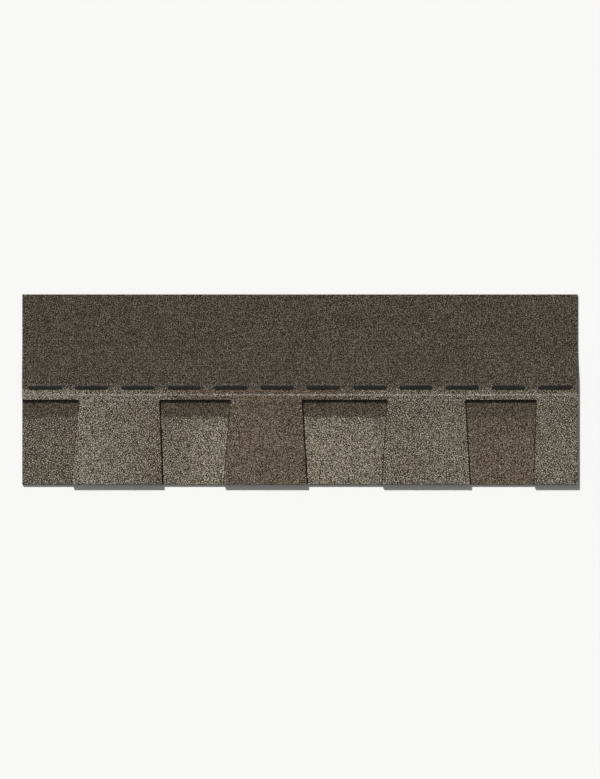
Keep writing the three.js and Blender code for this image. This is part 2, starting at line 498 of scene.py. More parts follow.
@dataclass(frozen=True)
class CutEdge(Finish):
    """Filled asphalt on a glass mat, sheared by the cutting drum.

    It gives the eye a dull black edge with grey specks of its stone filler, and the ends of cut glass
    fibres in an uneven line a little under its middle.
    """

    name: str = "sheared_asphalt_edge"
    asphalt: str = "19130d"
    dust: str = "4a4237"
    fibre: str = "8f8a7d"
    speck: float = 0.4 * MM  # a speck's width, drawn coarser than the filler is, so that it shows
    dust_at: Span = (0.5, 1.0)  # the random numbers of the specks that show filler
    dust_share: float = 0.8  # the most that one shows
    mat_level: float = 0.4  # how far up the sheet the glass mat lies, as a share of its thickness
    mat_depth: float = 0.1  # half the mat's thickness, as a share of the sheet's
    wave: float = 3.0 * MM  # the length of the mat's waves
    wave_height: float = 0.16  # their height, as a share of the sheet's thickness
    tear: float = 1.0 * MM  # the size of the bumps that the shear leaves

    def surface(self, add: AddNode) -> Inputs:
        """Adds the nodes that lead to the shader.

        Args:
            add: Adds a node to the material's tree.

        Returns:
            The shader's inputs by name.
        """
        at = add("ShaderNodeTexCoord").outputs["Object"]
        _, pick = broken_grains(add, at, self.speck, self.speck)
        colours = (linear(self.asphalt), linear(self.dust))
        filled, _ = tinted(add, colours, pick, self.dust_at, (0.0, self.dust_share))
        ply = add("ShaderNodeAttribute", attribute_name=PLY).outputs["Fac"]
        low = self.mat_level + self.wave_height / 2
        above = add("ShaderNodeMath", {0: ply, 1: low}, operation="SUBTRACT")
        off = swayed(add, at, self.wave, self.wave_height, above)
        off = add("ShaderNodeMath", {0: off}, operation="ABSOLUTE")
        colour, _ = tinted(add, (filled, linear(self.fibre)), off, (self.mat_depth, 0.0), (0.0, pick))
        torn = add("ShaderNodeTexNoise", {"Vector": at, "Scale": 1 / self.tear, "Detail": 4.0})
        bump = add("ShaderNodeBump", {"Strength": 0.7, "Distance": 0.4 * MM, "Height": torn})
        return {"Base Color": colour, "Normal": bump, "Roughness": 0.7, "Specular IOR Level": 0.1}


@dataclass(frozen=True)
class SandedBack(Finish):
    """Asphalt coating, dusted hot with fine sand and stone dust so that shingles don't stick together.

    It gives the eye a dull black-grey sandpaper, with faint streaks along the way that the sheet ran
    through the press rolls. The sand is 0.3 mm and is drawn four times as coarse, because finer specks
    don't show.
    """

    name: str = "sanded_asphalt_back"
    asphalt: str = "211f1c"
    dust: str = "454239"
    sand: tuple[tuple[float, str], ...] = (  # the grains' colours, by their random numbers
        (0.0, "201e1b"),
        (0.4, "38352f"),
        (0.75, "5a564c"),
        (0.95, "847e70"),
        (1.0, "a8a191"),
    )
    grain: float = 1.2 * MM  # a grain's width
    sand_at: Span = (0.6, 0.35)  # in widths from a grain's middle, where it shows
    streak: float = 7 * MM  # a streak's width
    streak_length: float = 100 * MM
    streak_at: Span = (0.3, 0.75)  # the streaks' noise where dust shows
    streak_share: tuple[float, float] = (0.25, 0.85)  # the least and the most dust there
    patch: float = 70 * MM  # the size of the clouds of dust

    def surface(self, add: AddNode) -> Inputs:
        """Adds the nodes that lead to the shader.

        Args:
            add: Adds a node to the material's tree.

        Returns:
            The shader's inputs by name.
        """
        at = add("ShaderNodeTexCoord").outputs["Object"]
        squeezed = (self.streak / self.streak_length, 1.0, 1.0)
        along = add("ShaderNodeMapping", {"Vector": at, "Scale": squeezed})
        rolled = add("ShaderNodeTexNoise", {"Vector": along, "Scale": 1 / self.streak, "Detail": 4.0})
        names = ("From Min", "From Max", "To Min", "To Max")
        limits = dict(zip(names, (*self.streak_at, *self.streak_share)))
        streaks = add("ShaderNodeMapRange", {"Value": rolled, **limits})
        clouds = add("ShaderNodeTexNoise", {"Vector": at, "Scale": 1 / self.patch})
        dusty = add("ShaderNodeMath", {0: streaks, 1: clouds}, operation="MULTIPLY")
        inputs = {"Factor": dusty, "A": linear(self.asphalt), "B": linear(self.dust)}
        coated = add("ShaderNodeMix", inputs, data_type="RGBA")
        grains, pick = broken_grains(add, at, self.grain, self.grain)
        sand = add("ShaderNodeValToRGB", {"Fac": pick})
        set_stops(sand, [(place, linear(colour)) for place, colour in self.sand])
        bare = add("ShaderNodeMath", {0: 1.0, 1: dusty}, operation="SUBTRACT")
        colour, _ = tinted(add, (coated, sand), grains, self.sand_at, (0.0, bare))
        relief = {"Strength": 0.6, "Distance": 0.3 * MM, "Height": grains}
        bump = add("ShaderNodeBump", relief, invert=True)
        return {"Base Color": colour, "Normal": bump, "Roughness": 0.8, "Specular IOR Level": 0.3}


@dataclass(frozen=True)
class PouredAsphalt(Finish):
    """Modified asphalt laid down hot from a wheel or a nozzle.

    It gives the eye a smooth black bead with a soft uneven shine, and a little stone dust where it has
    picked some up.
    """

    name: str
    roughness: float  # where it is clean
    black: str = "0f0d0b"
    dust: str = "2e2b27"
    dust_size: float = 4 * MM  # the size of the dusty places
    dust_at: Span = (0.55, 0.75)  # their noise where dust shows
    dust_share: float = 0.8  # the most dust that there is
    dulling: float = 0.35  # how much rougher dust makes it
    flow: float = 3 * MM  # the size of the swells that it sets in

    def surface(self, add: AddNode) -> Inputs:
        """Adds the nodes that lead to the shader.

        Args:
            add: Adds a node to the material's tree.

        Returns:
            The shader's inputs by name.
        """
        at = add("ShaderNodeTexCoord").outputs["Object"]
        picked_up = add("ShaderNodeTexNoise", {"Vector": at, "Scale": 1 / self.dust_size, "Detail": 4.0})
        colours = (linear(self.black), linear(self.dust))
        colour, dusty = tinted(add, colours, picked_up, self.dust_at, (0.0, self.dust_share))
        inputs = {0: dusty, 1: self.dulling, 2: self.roughness}
        dull = add("ShaderNodeMath", inputs, operation="MULTIPLY_ADD")
        flow = add("ShaderNodeTexNoise", {"Vector": at, "Scale": 1 / self.flow, "Detail": 1.0})
        bump = add("ShaderNodeBump", {"Strength": 0.7, "Distance": 0.8 * MM, "Height": flow})
        return {"Base Color": colour, "Normal": bump, "Roughness": dull, "Specular IOR Level": 0.2}


@dataclass(frozen=True)
class CoatedFilm(Finish):
    """Clear polyester film with a silicone coat, laid on the warm back.

    It gives the eye a glossy grey-black band with faint milky ripples.
    """

    name: str = "silicone_coated_film"
    clear: str = "2a2927"
    milky: str = "55544f"
    ripple: float = 2.5 * MM  # a ripple's width
    ripple_stretch: float = 4.0  # how many times as long it is
    milk_at: Span = (0.5, 0.75)  # the ripples' noise where they are milky
    milk_share: float = 0.45  # how milky they get

    def surface(self, add: AddNode) -> Inputs:
        """Adds the nodes that lead to the shader.

        Args:
            add: Adds a node to the material's tree.

        Returns:
            The shader's inputs by name.
        """
        at = add("ShaderNodeTexCoord").outputs["Object"]
        squeezed = (1.0, 1 / self.ripple_stretch, 1.0)
        across = add("ShaderNodeMapping", {"Vector": at, "Scale": squeezed})
        ripples = add("ShaderNodeTexNoise", {"Vector": across, "Scale": 1 / self.ripple, "Detail": 3.0})
        colours = (linear(self.clear), linear(self.milky))
        colour, _ = tinted(add, colours, ripples, self.milk_at, (0.0, self.milk_share))
        bump = add("ShaderNodeBump", {"Strength": 0.3, "Distance": 0.3 * MM, "Height": ripples})
        return {"Base Color": colour, "Normal": bump, "Roughness": 0.12, "IOR": 1.6}


@dataclass(frozen=True)
class FloorPaint(Finish):
    """Matte emulsion, which gives the eye a plain pale ground."""

    name: str = "studio_floor_paint"
    paint: str = "f8f8f6"

    def surface(self, add: AddNode) -> Inputs:
        """Returns the shader's inputs by name, which need no nodes."""
        return {"Base Color": linear(self.paint), "Roughness": 0.9, "Specular IOR Level": 0.0}


# ---- Modelling tools ----


def only(piece: Object) -> None:
    """Selects one object alone and makes it active.

    Args:
        piece: The object.
    """
    bpy.ops.object.select_all(action="DESELECT")
    piece.select_set(True)
    bpy.context.view_layer.objects.active = piece


@contextmanager
def editing(piece: Object) -> Iterator[None]:
    """Keeps one object alone in edit mode, with nothing selected at first.

    Args:
        piece: The object.

    Yields:
        Nothing, while the object is in edit mode.
    """
    only(piece)
    bpy.ops.object.mode_set(mode="EDIT")
    bpy.ops.mesh.select_mode(type="FACE")
    bpy.ops.mesh.select_all(action="DESELECT")
    yield
    bpy.ops.object.mode_set(mode="OBJECT")


def pick_faces(piece: Object, wanted: FaceTest) -> None:
    """Selects the faces of the mesh in edit mode that a test wants, and no others.

    Args:
        piece: The object in edit mode.
        wanted: Says of a face whether it is selected.
    """
    bpy.ops.mesh.select_all(action="DESELECT")
    mesh = bmesh.from_edit_mesh(piece.data)
    for face in mesh.faces:
        if wanted(face):
            face.select_set(True)
    bmesh.update_edit_mesh(piece.data)


def delete_faces(piece: Object, unwanted: FaceTest) -> None:
    """Deletes the faces of the mesh in edit mode that a test picks."""
    pick_faces(piece, unwanted)
    bpy.ops.mesh.delete(type="FACE")


def faces_up(face: BMFace) -> bool:
    """True for a face that looks up."""
    return face.normal.z > LEVEL


def faces_down(face: BMFace) -> bool:
    """True for a face that looks down."""
    return face.normal.z < -LEVEL


def faces_out(face: BMFace) -> bool:
    """True for a face on a cut edge."""
    return abs(face.normal.z) <= LEVEL


def cut_at(point: Vector, normal: Vector, keep_front: bool = False) -> None:
    """Cuts the whole mesh in edit mode along a plane.

    Args:
        point: A point of the plane.
        normal: Its normal.
        keep_front: Whether what lies behind the plane is cut away.
    """
    bpy.ops.mesh.select_all(action="SELECT")
    bpy.ops.mesh.bisect(plane_co=point, plane_no=normal, clear_inner=keep_front)


def merge_corners() -> None:
    """Merges corners at one place in the mesh in edit mode."""
    bpy.ops.mesh.select_all(action="SELECT")
    bpy.ops.mesh.remove_doubles(threshold=ONE_PLACE)


def sort_parts() -> None:
    """Puts the parts of the mesh in edit mode in one order, which cuts change from run to run.

    The random moves that follow go by that order, so without it no two runs would be alike.
    """
    bpy.context.scene.cursor.location = SORT_FROM
    bpy.ops.mesh.select_all(action="SELECT")
    bpy.ops.mesh.sort_elements(type="CURSOR_DISTANCE", elements={"VERT", "EDGE", "FACE"})


def copy_of(source: Object, name: str) -> Object:
    """Makes a shown copy of an object, with its own mesh and no parent.

    Args:
        source: The object to copy.
        name: The copy's name.

    Returns:
        The copy.
    """
    piece = bpy.data.objects.new(name, source.data.copy())
    piece.data.name = name
    bpy.context.scene.collection.objects.link(piece)
    return piece


def forget(piece: Object) -> None:
    """Deletes an object that was only a tool, and its mesh.

    Args:
        piece: The object.
    """
    mesh = piece.data
    bpy.data.objects.remove(piece)
    bpy.data.meshes.remove(mesh)


def wear(piece: Object, *materials: Material) -> None:
    """Gives a mesh its material slots.

    Args:
        piece: The mesh's object.
        *materials: The materials, in the slots' order.
    """
    piece.data.materials.clear()
    for material in materials:
        piece.data.materials.append(material)


def report(piece: Object) -> None:
    """Reports a finished piece."""
    worn = ", ".join(material.name for material in piece.data.materials)
    LOG.info("%s: %d faces in %s", piece.name, len(piece.data.polygons), worn)


def settle(piece: Object, slot: Slot, *replaced: str) -> None:
    """Makes a finished piece ride with the shingle, and reports it.

    Args:
        piece: The piece.
        slot: The record's slot that its finish comes from. Not used.
        *replaced: The CAD nodes that it stands for.
    """
    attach(piece, BODY)
    if replaced:
        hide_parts(*replaced)
    report(piece)


# ---- Granules ----


class Chip(Enum):
    """The shapes that crushed rock breaks into, by how wide their tops and how tall they are."""

    TABLE = (0.85, 0.8)
    BLOCK = (0.65, 1.0)
    WEDGE = (0.4, 1.15)


@dataclass(frozen=True)
class GranuleMill:
    """Makes a few angular chips of stone, which every bed of granules is filled with."""

    radius: float = 1.0 * MM  # a chip's radius at its foot
    height: float = 0.9 * MM  # from its foot to its top
    foot: float = 0.4 * MM  # how far its foot is sunk in the asphalt
    roughing: float = 0.25 * MM  # how far its corners are moved at random
    seeds: tuple[int, ...] = (3, 8, 21, 34)  # one for each chip of a shape

    def build(self) -> Collection:
        """Makes the chips.

        Returns:
            The collection that holds them.
        """
        chips = bpy.data.collections.new("granule_chips")
        bpy.context.scene.collection.children.link(chips)
        for shape in Chip:
            for seed in self.seeds:
                chip = self._chip(shape, seed)
                for holder in chip.users_collection:
                    holder.objects.unlink(chip)
                chips.objects.link(chip)
        return chips

    def _chip(self, shape: Chip, seed: int) -> Object:
        """Makes one chip round the origin, which is where it meets the asphalt.

        Args:
            shape: What it broke into.
            seed: Chooses how its corners move.

        Returns:
            The chip.
        """
        top, tall = shape.value
        depth = self.height * tall
        bpy.ops.object.select_all(action="DESELECT")
        bpy.ops.mesh.primitive_cone_add(
            vertices=3,
            radius1=self.radius,
            radius2=self.radius * top,
            depth=depth,
            location=(0, 0, depth / 2 - self.foot),
        )
        chip = bpy.context.object
        chip.name = f"chip_{shape.name.lower()}_{seed}"
        bpy.ops.object.transform_apply()
        with editing(chip):
            pick_faces(chip, faces_up)
            bpy.ops.transform.rotate(value=math.pi / 3, orient_axis="Z", center_override=(0, 0, 0))
            bpy.ops.mesh.select_all(action="SELECT")
            bpy.ops.transform.vertex_random(offset=self.roughing, seed=seed)
            bpy.ops.mesh.convex_hull(use_existing_faces=False, join_triangles=False)
            bpy.ops.mesh.normals_make_consistent()
        LOG.info("%s: %d faces", chip.name, len(chip.data.polygons))
        return chip

    def clear(self, chips: Collection) -> None:
        """Puts the chips away once every bed is filled.

        Args:
            chips: The collection that holds them.
        """
        for chip in list(chips.objects):
            forget(chip)
        bpy.data.collections.remove(chips)


@dataclass(frozen=True)
class GranuleBed:
    """One stretch of a sheet's face, filled with granules."""

    name: str
    low: float  # the lowest y of the stretch
    high: float  # the highest
    seed: int  # chooses where the granules fall
    gap: float = 1.28 * MM  # the least distance between two granules' middles
    light_gap: float = 3.4 * MM  # the least distance between two light granules, which spreads them evenly
    light_room: float = 1.1 * MM  # how far other granules keep from a light one
    tilt: float = 0.35  # how far a granule may lean
    smallest: float = 0.72  # the least size of a granule against its chip
    largest: float = 1.18
    bake_square: float = 3.0 * MM  # the width that each granule has on the map that a bake would use

    TRIES: ClassVar = 4  # granules dropped on each square of the gap's width, most of which find no room

    def build(self, seat: Object, chips: Collection, granules: Material) -> Object:
        """Fills the bed.

        Args:
            seat: The faces that granules may fall on, over the whole sheet.
            chips: The granules' shapes.
            granules: Their material.

        Returns:
            The granules as one piece.
        """
        bed = copy_of(seat, self.name)
        with editing(bed):
            cut_at(ACROSS * self.low, ACROSS, keep_front=True)
            cut_at(ACROSS * self.high, -ACROSS, keep_front=True)
        scatter = bed.modifiers.new("granules", "NODES")
        scatter.node_group = self._scatter(chips)
        only(bed)
        bpy.ops.object.modifier_apply(modifier=scatter.name)
        wear(bed, granules)
        self._lay_out_bake(bed.data)
        return bed

    def _scatter(self, chips: Collection) -> NodeTree:
        """Makes the nodes that drop chips on the bed, turn and size them, and keep each one's numbers.

        Args:
            chips: The granules' shapes.

        Returns:
            A geometry node tree.
        """
        tree = bpy.data.node_groups.new(self.name, "GeometryNodeTree")
        for way in ("INPUT", "OUTPUT"):
            tree.interface.new_socket("Geometry", in_out=way, socket_type="NodeSocketGeometry")
        add = partial(add_node, tree)
        light_seed, common_seed, pick_seed, turn_seed, size_seed = (self.seed * 10 + i for i in range(5))
        face = add("NodeGroupInput")
        sets = []
        for gap, seed in ((self.light_gap, light_seed), (self.gap, common_seed)):
            inputs = {"Mesh": face, "Distance Min": gap, "Density Max": self.TRIES / gap**2, "Seed": seed}
            sets.append(add("GeometryNodeDistributePointsOnFaces", inputs, distribute_method="POISSON"))
        light, common = sets
        away = add("GeometryNodeProximity", {0: light}, target_element="POINTS").outputs["Distance"]
        crowded = add("FunctionNodeCompare", {"A": away, "B": self.light_room}, operation="LESS_THAN")
        inputs = {"Geometry": common, "Selection": crowded}
        common = add("GeometryNodeDeleteGeometry", inputs, domain="POINT")
        granules = add("GeometryNodeJoinGeometry")
        for drops, least in ((light, 1.0), (common, 0.0)):
            ends = {"Min": least, "Max": least + 1.0, "Seed": pick_seed}
            pick = add("FunctionNodeRandomValue", ends, data_type="FLOAT")
            inputs = {"Geometry": drops, "Name": PICK, "Value": pick}
            picked = add("GeometryNodeStoreNamedAttribute", inputs, data_type="FLOAT", domain="POINT")
            tree.links.new(picked.outputs[0], granules.inputs[0])
        for name, kind, source in (
            (SEAT, "FLOAT_VECTOR", "GeometryNodeInputPosition"),
            (NUMBER, "INT", "GeometryNodeInputIndex"),
        ):
            inputs = {"Geometry": granules, "Name": name, "Value": add(source)}
            granules = add("GeometryNodeStoreNamedAttribute", inputs, data_type=kind, domain="POINT")
        inputs = {"Collection": chips, "Separate Children": True, "Reset Children": True}
        shapes = add("GeometryNodeCollectionInfo", inputs)
        most = (self.tilt, self.tilt, math.tau)
        ends = {"Min": (-self.tilt, -self.tilt, 0.0), "Max": most, "Seed": turn_seed}
        turn = add("FunctionNodeRandomValue", ends, data_type="FLOAT_VECTOR")
        ends = {"Min": self.smallest, "Max": self.largest, "Seed": size_seed}
        size = add("FunctionNodeRandomValue", ends, data_type="FLOAT")
        inputs = {"Points": granules, "Instance": shapes, "Pick Instance": True}
        stones = add("GeometryNodeInstanceOnPoints", inputs | {"Rotation": turn, "Scale": size})
        add("NodeGroupOutput", {0: add("GeometryNodeRealizeInstances", {"Geometry": stones})})
        return tree

    def _lay_out_bake(self, mesh: Mesh) -> None:
        """Gives each granule a square of its own on the map that a bake would use.

        Args:
            mesh: The granules' mesh.
        """
        numbers = [item.value for item in mesh.attributes[NUMBER].data]
        side = math.ceil(math.sqrt(max(numbers) + 1))
        seats = [Vector(item.vector) for item in mesh.attributes[SEAT].data]
        layer = mesh.uv_layers.new(name="OFBake")
        for loop in mesh.loops:
            v = loop.vertex_index
            row, column = divmod(numbers[v], side)
            x, y, _ = (mesh.vertices[v].co - seats[v]) / self.bake_square
            layer.uv[loop.index].vector = ((column + 0.5 + x) / side, (row + 0.5 + y) / side)
        mesh.attributes.remove(mesh.attributes[NUMBER])


# ---- The coated sheets ----


@dataclass(frozen=True)
class SheetLook:
    """The materials of one coated sheet."""

    granules: Material
    fines: Material
    edge: Material
    back: Material


@dataclass(kw_only=True)
class CoatedSheet(ABC):
    """A glass mat in asphalt, cut to its outline, with granules pressed into its face."""

    node: str  # the CAD node that it stands for
    slot: Slot
    look: SheetLook
    slot_top: float  # the y of the tops of the slots
    bed_depth: float = 0.55 * MM  # how far the asphalt lies below the tops of the granules
    edge: float = 0.8 * MM  # how far in from a cut edge the first granules have their middles
    core: Object = field(init=False)

    FLAT: ClassVar = math.radians(0.1)  # faces that meet at less than this are one face

    def build(self, cad: Object, chips: Collection) -> None:
        """Builds the sheet.

        Args:
            cad: The CAD node's object.
            chips: The granules' shapes.
        """
        self.core = copy_of(cad, f"{self.node}_core")
        with editing(self.core):
            merge_corners()
            bpy.ops.mesh.dissolve_limited(angle_limit=self.FLAT)
            self.press_bed()
        self._dress()
        seat = copy_of(self.core, f"{self.node}_seat")
        with editing(seat):
            self.clear_seat(seat)
        for bed in self.beds():
            settle(bed.build(seat, chips, self.look.granules), self.slot)
        forget(seat)

    @abstractmethod
    def press_bed(self) -> None:
        """Presses the core's face down to the asphalt where granules will lie."""

    @abstractmethod
    def clear_seat(self, seat: Object) -> None:
        """Leaves only the faces that granules may fall on.

        Args:
            seat: A copy of the core in edit mode.
        """

    @abstractmethod
    def beds(self) -> list[GranuleBed]:
        """Lists the stretches that granules fill.

        Returns:
            The beds, from the lowest.
        """

    def is_shade_strip(self, face: BMFace) -> bool:
        """True for a face of the bed left without granules as painted shade."""
        return False

    def _dress(self) -> None:
        """Gives the core its bed, edge and back, and marks how far through the sheet each corner is."""
        finishes = (
            (self.look.fines, faces_up),
            # The strips of painted shade take the cut edge's dark asphalt.
            (self.look.edge, lambda f: faces_out(f) or (faces_up(f) and self.is_shade_strip(f))),
            (self.look.back, faces_down),
        )
        wear(self.core, *(material for material, _ in finishes))
        with editing(self.core):
            for slot, (_, wanted) in enumerate(finishes):
                pick_faces(self.core, wanted)
                self.core.active_material_index = slot
                bpy.ops.object.material_slot_assign()
        mesh = self.core.data
        low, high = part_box(self.node)
        ply = mesh.attributes.new(PLY, "FLOAT", "POINT")
        for vertex in mesh.vertices:
            ply.data[vertex.index].value = (vertex.co.z - low.z) / (high.z - low.z)
        for face in mesh.polygons:
            if abs(face.normal.z) > LEVEL:
                for vertex in face.vertices:
                    ply.data[vertex].value = 1.0 if face.normal.z > 0 else 0.0
        settle(self.core, self.slot, self.node)


@dataclass(kw_only=True)
class ToothSheet(CoatedSheet):
    """The top layer, with granules on its teeth, on the bond above the slots and on the headlap."""

    backer_top: float  # the y of the backer strip's upper edge, under the sheet
    headlap_gap: float = 1.5 * MM  # the least distance between two granules' middles on the headlap
    seed: int = 11  # the first bed's seed

    def press_bed(self) -> None:
        """Presses the core's whole face down to the asphalt."""
        pick_faces(self.core, faces_up)
        bpy.ops.transform.translate(value=-UP * self.bed_depth)

    def clear_seat(self, seat: Object) -> None:
        """Leaves the face, drawn in from its cut edges.

        Args:
            seat: A copy of the core in edit mode.
        """
        delete_faces(seat, lambda face: not faces_up(face))
        bpy.ops.mesh.select_all(action="SELECT")
        bpy.ops.mesh.inset(thickness=self.edge, use_boundary=True, use_even_offset=True)
        bpy.ops.mesh.select_all(action="INVERT")
        bpy.ops.mesh.delete(type="FACE")

    def beds(self) -> list[GranuleBed]:
        """Lists the stretches that granules fill.

        Returns:
            The beds, from the lowest.
        """
        low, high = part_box(self.node)
        halfway = (low.y + self.slot_top) / 2
        middle = (self.backer_top + high.y) / 2
        stretches = (
            ("tooth_granules_lower", low.y, halfway, GranuleBed.gap),
            ("tooth_granules_upper", halfway, self.slot_top, GranuleBed.gap),
            ("bond_granules", self.slot_top, self.backer_top, GranuleBed.gap),
            ("headlap_granules_lower", self.backer_top, middle, self.headlap_gap),
            ("headlap_granules_upper", middle, high.y, self.headlap_gap),
        )
        return [
            GranuleBed(name, start, end, self.seed + i, gap)
            for i, (name, start, end, gap) in enumerate(stretches)
        ]


@dataclass(frozen=True)
class ToothSide:
    """One side of a tooth."""

    middle: Vector
    normal: Vector  # points into the slot
    bare: float  # how wide the strip of bare asphalt beside it is, a painted shade of the tooth's side wall

    def is_beside(self, point: Vector) -> bool:
        """True for a point in the strip of painted shade."""
        return 0 < (point - self.middle).dot(self.normal) < self.bare


@dataclass(kw_only=True)
class BackerStrip(CoatedSheet):
    """The bottom layer, with granules where the slots leave it open to view."""

    teeth: Object  # the tooth sheet's core, which covers the rest of the strip
    shade_left: float = 1.2 * MM  # the width of the painted shade, bare asphalt along a tooth's left side
    shade_right: float = 2.8 * MM  # its width along a tooth's right side, away from the key light, and under the tops of the slots
    seed: int = 31
    sides: list[ToothSide] = field(init=False)

    def press_bed(self) -> None:
        """Presses the core's face down to the asphalt in the slots."""
        self.sides = self._sides()
        for side in self.sides:
            cut_at(side.middle, side.normal)
            cut_at(side.middle + side.normal * side.bare, side.normal)
        cut_at(ACROSS * self.slot_top, ACROSS)
        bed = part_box(self.node)[1].z - self.bed_depth
        cut_at(UP * bed, UP)
        pick_faces(self.core, lambda f: faces_up(f) and self._is_open(f))
        bpy.ops.mesh.extrude_region_move(TRANSFORM_OT_translate={"value": -UP * self.bed_depth})
        delete_faces(
            self.core,
            lambda f: faces_out(f)
            and f.calc_center_median().z > bed
            and self._is_outer(f)
            and self._is_open(f),
        )
        merge_corners()

    def clear_seat(self, seat: Object) -> None:
        """Leaves the bed in the slots, without the strips of painted shade, drawn in from the sheet's left
        end.
        """
        delete_faces(seat, lambda f: not self._is_bed(f) or self.is_shade_strip(f))
        cut_at(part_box(self.node)[0] + ALONG * self.edge, ALONG, keep_front=True)

    def beds(self) -> list[GranuleBed]:
        """Lists the one stretch that granules fill."""
        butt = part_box(self.node)[0].y
        # The slot granules stop short of the slots' tops, leaving a strip of painted shade there.
        return [GranuleBed("slot_granules", butt + self.edge, self.slot_top - self.shade_right, self.seed)]

    def is_shade_strip(self, face: BMFace) -> bool:
        """True for a face of the bed in the strips of painted shade along the teeth."""
        at = face.calc_center_median()
        return self._is_bed(face) and any(side.is_beside(at) for side in self.sides)

    def _sides(self) -> list[ToothSide]:
        """Finds the straight sides of the teeth, without the sheet's own ends.

        Returns:
            The sides.
        """
        low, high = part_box(self.node)
        sides = []
        for face in self.teeth.data.polygons:
            ys = [self.teeth.data.vertices[v].co.y for v in face.vertices]
            tall = max(ys) - min(ys) > (self.slot_top - low.y) / 2
            inside = low.x + self.edge < face.center.x < high.x - self.edge
            if tall and inside and abs(face.normal.z) < LEVEL:
                # The painted shade is wider on the right, where the key light from the upper left throws the
                # teeth's shadows.
                bare = self.shade_left if face.normal.x < 0 else self.shade_right
                sides.append(ToothSide(face.center.copy(), face.normal.copy(), bare))
        return sides

    def _is_bed(self, face: BMFace) -> bool:
        """True for a face of the pressed bed."""
        return faces_up(face) and face.calc_center_median().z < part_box(self.node)[1].z - self.bed_depth / 2

    def _is_outer(self, face: BMFace) -> bool:
        """Says whether a face is in the plane of one of the strip's outer walls.

        Args:
            face: The face.

        Returns:
            True if it is.
        """
        at = face.calc_center_median()
        low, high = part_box(self.node)
        return min(at.x - low.x, high.x - at.x, at.y - low.y, high.y - at.y) < ONE_PLACE

    def _is_open(self, face: BMFace) -> bool:
        """Says whether no tooth covers a face, looking a little way in from the strip's outer walls.

        Args:
            face: The face.

        Returns:
            True if none does.
        """
        low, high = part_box(self.node)
        at = face.calc_center_median()
        nudge = self.edge / 2
        at.x = min(max(at.x, low.x + nudge), high.x - nudge)
        at.y = min(max(at.y, low.y + nudge), high.y - nudge)
        hit, *_ = self.teeth.ray_cast(at, UP)
        return not hit


# ---- Sealant ----


@dataclass(frozen=True)
class SealantRow:
    """The row of heat-activated dashes that glues down the next course."""

    nodes: tuple[str, ...]  # the CAD nodes of the dashes
    sink: float = 0.5 * MM  # how far a dash reaches down between the granules
    wobble: float = 0.6 * MM  # how far its outline wanders
    around: int = 12  # the corners round a dash, half of them above the sheet
    cut_every: float = 3.6 * MM  # the distance between two rings of corners along it
    rounds: int = 2  # how many times its mesh is made finer and rounder
    crease: float = math.radians(50)  # faces that meet at more than this keep a sharp edge

    def build(self, finish: Material) -> None:
        """Models one dash, and lays a copy of it with an outline of its own where each CAD node lies.

        Args:
            finish: The dashes' material.
        """
        low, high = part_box(self.nodes[0])
        radius = (high.y - low.y) / 2 - self.wobble
        flatten = (high.z - low.z + self.sink) / radius
        pattern = self._pattern(radius, (high.x - low.x) / 2 - self.wobble - radius)
        wear(pattern, finish)
        for seed, node in enumerate(self.nodes):
            low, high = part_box(node)
            middle = (low + high) / 2
            dash = copy_of(pattern, f"{node}_bead")
            with editing(dash):
                bpy.ops.mesh.select_all(action="SELECT")
                bpy.ops.transform.vertex_random(offset=self.wobble, seed=seed)
                bpy.ops.transform.resize(value=(1, 1, flatten), center_override=(0, 0, 0))
                bpy.ops.transform.translate(value=(middle.x, middle.y, low.z - self.sink))
            self._smooth(dash)
            settle(dash, Slot.SEALANT, node)
        forget(pattern)

    def _pattern(self, radius: float, reach: float) -> Object:
        """Models a dash round the origin: the upper half of a stretched ball, cut into rings.

        Args:
            radius: The radius of its round ends.
            reach: How far each end's middle is from the dash's middle.

        Returns:
            The dash, as high as its radius.
        """
        bpy.ops.object.select_all(action="DESELECT")
        bpy.ops.mesh.primitive_uv_sphere_add(
            segments=self.around, ring_count=self.around // 2, radius=radius
        )
        pattern = bpy.context.object
        with editing(pattern):
            for side in (-1, 1):
                pick_faces(pattern, lambda f, s=side: f.calc_center_median().x * s > ONE_PLACE)
                bpy.ops.mesh.extrude_region_move(TRANSFORM_OT_translate={"value": ALONG * side * reach})
            bpy.ops.mesh.select_all(action="SELECT")
            bpy.ops.mesh.bisect(plane_co=(0, 0, 0), plane_no=UP, clear_inner=True, use_fill=True)
            cuts = round(2 * reach / self.cut_every)
            for cut in range(1, cuts):
                cut_at(ALONG * (2 * reach * cut / cuts - reach), ALONG)
            sort_parts()
        return pattern

    def _smooth(self, dash: Object) -> None:
        """Rounds a dash, as hot asphalt rounds itself.

        Args:
            dash: The dash.
        """
        rounding = dash.modifiers.new("rounding", "SUBSURF")
        rounding.levels = self.rounds
        only(dash)
        bpy.ops.object.modifier_apply(modifier=rounding.name)
        bpy.ops.object.shade_smooth_by_angle(angle=self.crease)


# ---- Studio ----


